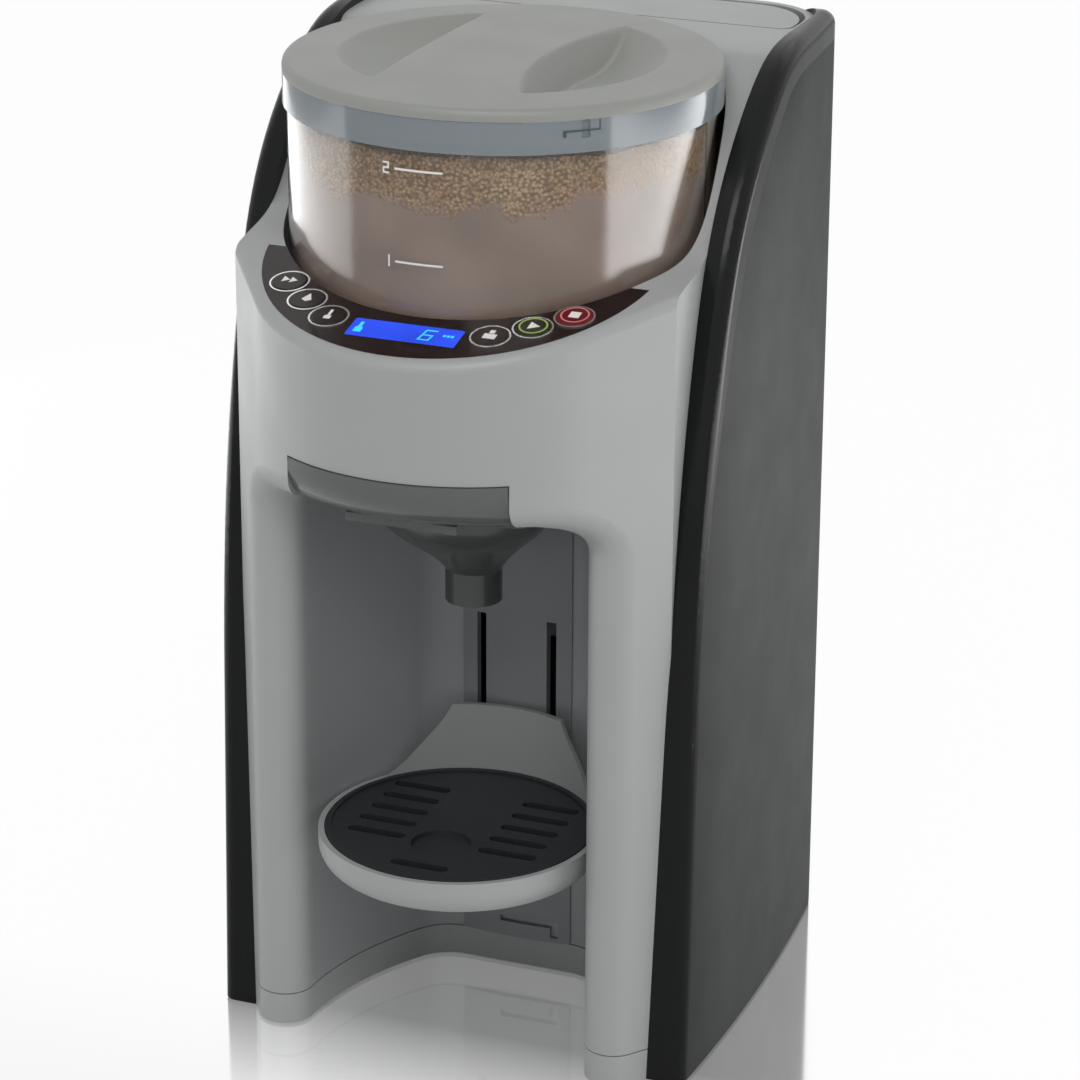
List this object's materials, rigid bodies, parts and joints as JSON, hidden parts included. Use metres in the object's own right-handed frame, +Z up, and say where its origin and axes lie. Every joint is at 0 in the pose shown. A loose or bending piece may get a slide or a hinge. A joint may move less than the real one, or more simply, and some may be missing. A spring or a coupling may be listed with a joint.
{
  "type": "baby formula maker",
  "caption": "Counter-top baby formula maker: powder container with grip lid over a bottle bay, funnel, height-adjustable drip tray, control ledge and rear water tank.",
  "frame": {"origin": "on the floor, below the middle of the overall footprint", "axes": "+Z up; -Y towards the user (bottle bay and controls); +X to the user's right as they face it"},
  "size_m": [0.18, 0.2286, 0.3516],
  "materials": {
    "silver_plastic": "satin",
    "dark_plastic": "satin",
    "black_gloss": "gloss",
    "black_matte": "matte",
    "panel_black": "gloss",
    "clear_plastic": "clear",
    "frosted_plastic": "frosted",
    "smoke_plastic": "clear smoke",
    "white_plastic": "matte",
    "display": "lit",
    "chrome": "polished",
    "steel": "brushed",
    "rubber_black": "matte",
    "rubber_clear": "satin",
    "stop_red": "gloss",
    "circuit_green": "satin",
    "heater_metal": "cast"
  },
  "bodies": {
    "housing": {"base_housing": "silver_plastic", "base_plate": "black_matte", "feet": "rubber_black", "base_screws": "steel", "front_shell": "silver_plastic", "bay_liner": "dark_plastic", "back_plate": "dark_plastic", "side_panel_left": "dark_plastic", "side_panel_right": "dark_plastic", "side_trim_left": "black_gloss", "side_trim_right": "black_gloss", "control_panel": "panel_black", "display_window": "display", "button_rings": "chrome", "control_board": "circuit_green", "container_seat": "black_matte", "gear_plate": "steel", "powder_motor": "steel", "tank_shelf": "black_matte", "rear_cover": "black_matte", "power_inlet": "black_matte", "switch_frame": "black_matte", "inner_frame": "black_matte", "water_pump": "black_matte", "water_heater": "heater_metal", "power_board": "circuit_green", "water_nozzle": "white_plastic", "inlet_hose": "rubber_clear", "heater_hose": "rubber_clear", "outlet_hose": "rubber_clear"},
    "container": {"powder_container": "clear_plastic", "container_band": "frosted_plastic", "container_base": "white_plastic"},
    "rotor": {"dosing_wheel": "white_plastic", "stirring_wheel": "white_plastic"},
    "drive": {"drive_coupling": "black_matte", "drive_gear": "white_plastic"},
    "pinion": {"motor_pinion": "white_plastic"},
    "lid_ring": {"lid_insert": "white_plastic", "lid_seal": "rubber_clear"},
    "lid": {"lid_cap": "silver_plastic"},
    "funnel_slide": {"funnel": "black_matte", "funnel_visor": "smoke_plastic"},
    "tray": {"drip_tray": "silver_plastic"},
    "grille": {"tray_grille": "black_matte"},
    "tank": {"water_tank": "smoke_plastic", "tank_valve": "white_plastic", "tank_seal": "rubber_clear", "tank_hinge_pin": "steel"},
    "tank_cover": {"tank_lid": "silver_plastic"},
    "rocker": {"power_switch": "black_gloss"},
    "speed_button_cap": {"speed_button": "panel_black"},
    "water_button_cap": {"water_button": "panel_black"},
    "warmth_button_cap": {"warmth_button": "panel_black"},
    "stop_button_cap": {"stop_button": "stop_red"},
    "start_button_cap": {"start_button": "panel_black"},
    "amount_button_cap": {"amount_button": "panel_black"}
  },
  "joints": [
    {"name": "container_lift", "type": "slide", "parent": "housing", "child": "container", "axis": [0, 0, 1], "range_m": [0, 0.11]},
    {"name": "drive_spin", "type": "hinge", "parent": "housing", "child": "drive", "pos_m": [0, -0.01, 0.246], "axis": [0, 0, 1], "continuous": true},
    {"name": "wheel_spin", "type": "hinge", "parent": "container", "child": "rotor", "pos_m": [0, -0.01, 0.262], "axis": [0, 0, 1], "continuous": true},
    {"name": "pinion_spin", "type": "hinge", "parent": "housing", "child": "pinion", "pos_m": [0, 0.011, 0.246], "axis": [0, 0, 1], "continuous": true},
    {"name": "lid_lift", "type": "slide", "parent": "container", "child": "lid_ring", "axis": [0, 0, 1], "range_m": [0, 0.06]},
    {"name": "lid_turn", "type": "hinge", "parent": "lid_ring", "child": "lid", "pos_m": [0, -0.01, 0.346], "axis": [0, 0, 1], "range_deg": [0, 20]},
    {"name": "funnel_pull", "type": "slide", "parent": "housing", "child": "funnel_slide", "axis": [0, -1, 0], "range_m": [0, 0.09]},
    {"name": "tray_height", "type": "slide", "parent": "housing", "child": "tray", "axis": [0, 0, 1], "range_m": [-0.045, 0.04]},
    {"name": "grille_lift", "type": "slide", "parent": "tray", "child": "grille", "axis": [0, 0, 1], "range_m": [0, 0.03]},
    {"name": "tank_lift", "type": "slide", "parent": "housing", "child": "tank", "axis": [0, 0, 1], "range_m": [0, 0.32]},
    {"name": "tank_lid_hinge", "type": "hinge", "parent": "tank", "child": "tank_cover", "pos_m": [0, 0.1012, 0.3454], "axis": [-1, 0, 0], "range_deg": [0, 95]},
    {"name": "power_rocker", "type": "hinge", "parent": "housing", "child": "rocker", "pos_m": [-0.034, 0.1082, 0.025], "axis": [1, 0, 0], "range_deg": [-8, 8]},
    {"name": "speed_button_press", "type": "slide", "parent": "housing", "child": "speed_button_cap", "axis": [0, 0.2288, -0.9735], "range_m": [0, 0.001], "stiffness_N_per_m": 400},
    {"name": "water_button_press", "type": "slide", "parent": "housing", "child": "water_button_cap", "axis": [0, 0.2288, -0.9735], "range_m": [0, 0.001], "stiffness_N_per_m": 400},
    {"name": "warmth_button_press", "type": "slide", "parent": "housing", "child": "warmth_button_cap", "axis": [0, 0.2288, -0.9735], "range_m": [0, 0.001], "stiffness_N_per_m": 400},
    {"name": "stop_button_press", "type": "slide", "parent": "housing", "child": "stop_button_cap", "axis": [0, 0.2288, -0.9735], "range_m": [0, 0.001], "stiffness_N_per_m": 400},
    {"name": "start_button_press", "type": "slide", "parent": "housing", "child": "start_button_cap", "axis": [0, 0.2288, -0.9735], "range_m": [0, 0.001], "stiffness_N_per_m": 400},
    {"name": "amount_button_press", "type": "slide", "parent": "housing", "child": "amount_button_cap", "axis": [0, 0.2288, -0.9735], "range_m": [0, 0.001], "stiffness_N_per_m": 400}
  ],
  "couplings": [
    {"joint": "wheel_spin", "follows": "drive_spin", "ratio": 1},
    {"joint": "pinion_spin", "follows": "drive_spin", "ratio": -2.5}
  ]
}
